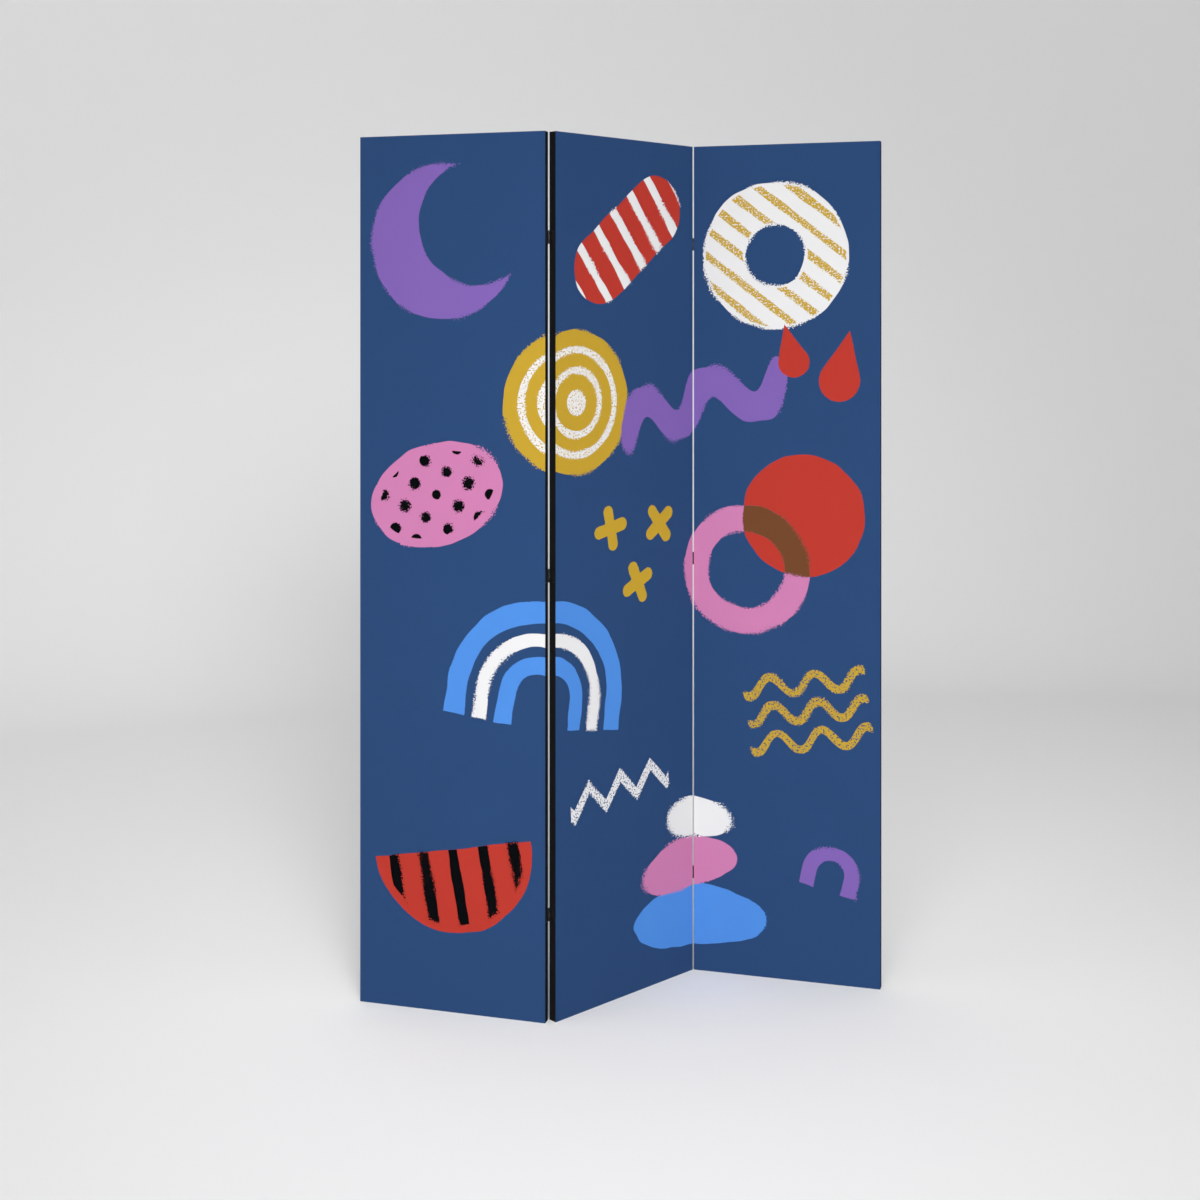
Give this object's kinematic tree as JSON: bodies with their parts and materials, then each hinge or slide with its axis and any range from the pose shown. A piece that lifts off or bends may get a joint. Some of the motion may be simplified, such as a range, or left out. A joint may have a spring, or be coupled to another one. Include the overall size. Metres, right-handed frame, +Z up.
{
  "type": "folding screen",
  "caption": "Folding room divider of tall canvas-covered timber panels joined by small butt hinges, standing in a zigzag.",
  "frame": {"origin": "on the floor, under the middle of the centre panel, which is the middle of the screen", "axes": "+Z up; +X along the screen from the left panel to the right one; -Y the printed front"},
  "size_m": [1.0864, 0.219, 1.8],
  "materials": {
    "painted_timber": "satin black paint",
    "printed_canvas": "matte print on canvas",
    "plain_canvas": "matte dyed canvas",
    "hinge_steel": "satin black enamel",
    "pin_steel": "blackened steel",
    "screw_steel": "black oxide"
  },
  "bodies": {
    "left_panel": {"left_panel_left_stile": "painted_timber", "left_panel_right_stile": "painted_timber", "left_panel_bottom_rail": "painted_timber", "left_panel_lower_cross_rail": "painted_timber", "left_panel_upper_cross_rail": "painted_timber", "left_panel_top_rail": "painted_timber", "left_panel_front_canvas": "printed_canvas", "left_panel_rear_canvas": "plain_canvas", "left_fold_bottom_hinge_outer_leaf": "hinge_steel", "left_fold_middle_hinge_outer_leaf": "hinge_steel", "left_fold_top_hinge_outer_leaf": "hinge_steel", "left_fold_outer_screws": "screw_steel"},
    "centre_panel": {"centre_panel_left_stile": "painted_timber", "centre_panel_right_stile": "painted_timber", "centre_panel_bottom_rail": "painted_timber", "centre_panel_lower_cross_rail": "painted_timber", "centre_panel_upper_cross_rail": "painted_timber", "centre_panel_top_rail": "painted_timber", "centre_panel_front_canvas": "printed_canvas", "centre_panel_rear_canvas": "plain_canvas", "left_fold_bottom_hinge_centre_leaf": "hinge_steel", "left_fold_middle_hinge_centre_leaf": "hinge_steel", "left_fold_top_hinge_centre_leaf": "hinge_steel", "left_fold_bottom_hinge_pin": "pin_steel", "left_fold_middle_hinge_pin": "pin_steel", "left_fold_top_hinge_pin": "pin_steel", "left_fold_centre_screws": "screw_steel", "right_fold_bottom_hinge_centre_leaf": "hinge_steel", "right_fold_middle_hinge_centre_leaf": "hinge_steel", "right_fold_top_hinge_centre_leaf": "hinge_steel", "right_fold_bottom_hinge_pin": "pin_steel", "right_fold_middle_hinge_pin": "pin_steel", "right_fold_top_hinge_pin": "pin_steel", "right_fold_centre_screws": "screw_steel"},
    "right_panel": {"right_panel_left_stile": "painted_timber", "right_panel_right_stile": "painted_timber", "right_panel_bottom_rail": "painted_timber", "right_panel_lower_cross_rail": "painted_timber", "right_panel_upper_cross_rail": "painted_timber", "right_panel_top_rail": "painted_timber", "right_panel_front_canvas": "printed_canvas", "right_panel_rear_canvas": "plain_canvas", "right_fold_bottom_hinge_outer_leaf": "hinge_steel", "right_fold_middle_hinge_outer_leaf": "hinge_steel", "right_fold_top_hinge_outer_leaf": "hinge_steel", "right_fold_outer_screws": "screw_steel"}
  },
  "joints": [
    {"name": "left_fold", "type": "hinge", "parent": "centre_panel", "child": "left_panel", "pos_m": [-0.18154, -0.09356, 0.9], "axis": [0, 0, -1], "range_deg": [-60, 120]},
    {"name": "right_fold", "type": "hinge", "parent": "centre_panel", "child": "right_panel", "pos_m": [0.18154, 0.09356, 0.9], "axis": [0, 0, -1], "range_deg": [-60, 120]}
  ]
}
